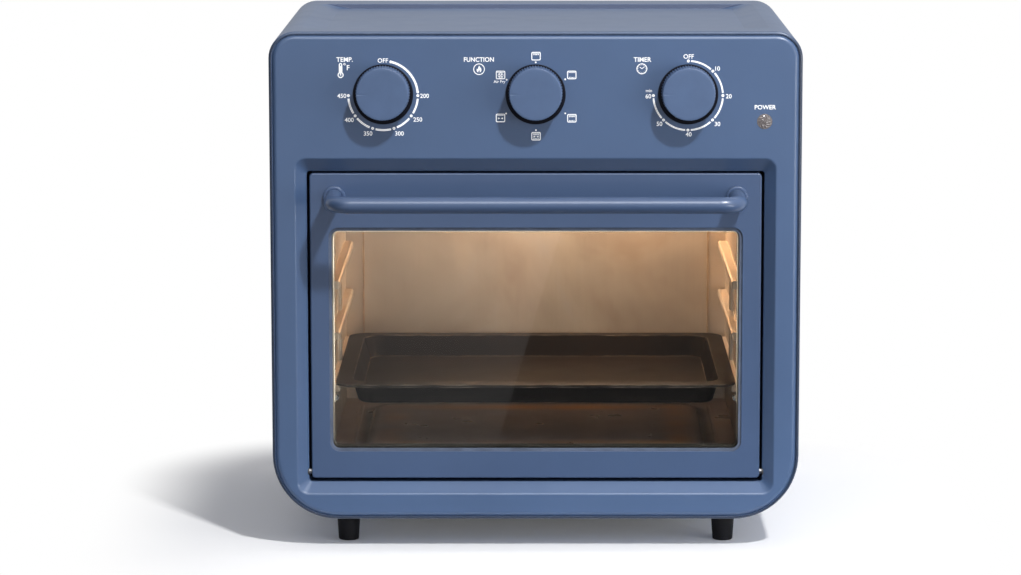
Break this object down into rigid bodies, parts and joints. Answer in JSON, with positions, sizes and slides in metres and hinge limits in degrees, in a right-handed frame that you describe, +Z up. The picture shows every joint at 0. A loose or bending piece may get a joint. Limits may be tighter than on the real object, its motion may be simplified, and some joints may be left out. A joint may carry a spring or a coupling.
{
  "type": "toaster oven",
  "caption": "Countertop toaster oven with a drop-down glass door, bar handle, dial knobs, baking tray, tube heaters and a convection fan in a rounded sheet metal case on feet.",
  "frame": {"origin": "on the table under the middle of the oven's box, from the handle's front to the inlet gland's tip", "axes": "+X to the right as seen from the front, +Y to the back, +Z up"},
  "size_m": [0.38, 0.3378, 0.3754],
  "materials": {
    "case_paint": "satin powder coat, slate blue",
    "door_paint": "satin powder coat, slate blue",
    "knob_plastic": "fine matt, slate blue",
    "ring_plastic": "dark blue black, matt",
    "chamber_steel": "galvanised sheet, warm grey",
    "chamber_floor_steel": "heat darkened sheet",
    "tray_coating": "dark non-stick coating, satin",
    "zinc_sheet": "zinc plated sheet",
    "bright_steel": "polished",
    "heater_sheath": "oxidised heater tube",
    "door_glass": "clear toughened glass",
    "lamp_glass": "warm clear glass",
    "power_lens": "smoked faceted lens",
    "black_rubber": "black, matt",
    "seal_silicone": "slate grey silicone, satin",
    "ceramic": "glazed ceramic",
    "bush_plastic": "dark nylon",
    "motor_steel": "laminated steel motor"
  },
  "bodies": {
    "body": {"outer_case": "case_paint", "front_fascia": "case_paint", "rear_cover": "case_paint", "knob_rings": "ring_plastic", "chamber_wall_left": "chamber_steel", "chamber_wall_right": "chamber_steel", "chamber_roof": "chamber_steel", "chamber_back_wall": "chamber_steel", "fan_guard": "chamber_steel", "chamber_floor": "chamber_floor_steel", "chamber_front_frame": "zinc_sheet", "base_pan": "zinc_sheet", "heater_brackets": "zinc_sheet", "motor_bracket": "zinc_sheet", "spring_anchors": "zinc_sheet", "control_screws": "zinc_sheet", "rear_screws": "bright_steel", "foot_screws": "bright_steel", "door_springs": "bright_steel", "timer_bell": "bright_steel", "upper_heaters": "heater_sheath", "lower_heaters": "heater_sheath", "lamp_lens": "lamp_glass", "lamp_bulb": "lamp_glass", "power_lens": "power_lens", "foot_front_left": "black_rubber", "foot_front_right": "black_rubber", "foot_rear_left": "black_rubber", "foot_rear_right": "black_rubber", "cord_gland": "black_rubber", "heater_insulators": "ceramic", "lamp_socket": "ceramic", "hinge_bushes": "bush_plastic", "thermostat": "bush_plastic", "function_switch": "bush_plastic", "timer": "bush_plastic", "power_holder": "bush_plastic", "terminal_block": "bush_plastic", "fan_motor": "motor_steel"},
    "door": {"door_frame": "door_paint", "door_gasket": "seal_silicone", "door_glass": "door_glass", "door_inner_panel": "zinc_sheet", "handle_bar": "door_paint", "handle_collars": "door_paint", "handle_screws": "bright_steel", "hinge_pins": "bright_steel", "hinge_arms": "zinc_sheet", "tray_hooks": "bright_steel"},
    "tray": {"baking_tray": "tray_coating"},
    "temperature_dial": {"temperature_knob": "knob_plastic", "temperature_shaft": "bright_steel"},
    "function_dial": {"function_knob": "knob_plastic", "function_shaft": "bright_steel"},
    "timer_dial": {"timer_knob": "knob_plastic", "timer_shaft": "bright_steel"},
    "fan": {"hot_wheel": "chamber_steel", "cooling_wheel": "zinc_sheet", "fan_shaft": "bright_steel"}
  },
  "joints": [
    {"name": "door_hinge", "type": "hinge", "parent": "body", "child": "door", "pos_m": [0, -0.1141, 0.0554], "axis": [1, 0, 0], "range_deg": [0, 85], "deforming": ["door_springs"]},
    {"name": "tray_slide", "type": "slide", "parent": "body", "child": "tray", "axis": [0, -1, 0], "range_m": [0, 0.07]},
    {"name": "temperature_turn", "type": "hinge", "parent": "body", "child": "temperature_dial", "pos_m": [-0.1085, -0.1351, 0.3323], "axis": [0, 1, 0], "range_deg": [-270, 0]},
    {"name": "function_turn", "type": "hinge", "parent": "body", "child": "function_dial", "pos_m": [0, -0.1351, 0.3323], "axis": [0, 1, 0], "continuous": true},
    {"name": "timer_turn", "type": "hinge", "parent": "body", "child": "timer_dial", "pos_m": [0.1085, -0.1351, 0.3323], "axis": [0, 1, 0], "range_deg": [-270, 0]},
    {"name": "fan_spin", "type": "hinge", "parent": "body", "child": "fan", "pos_m": [0, 0.0203, 0.262], "axis": [0, 0, 1], "continuous": true}
  ],
  "couplings": [
    {"joint": "tray_slide", "follows": "door_hinge", "m_per_rad": 0.0465}
  ]
}
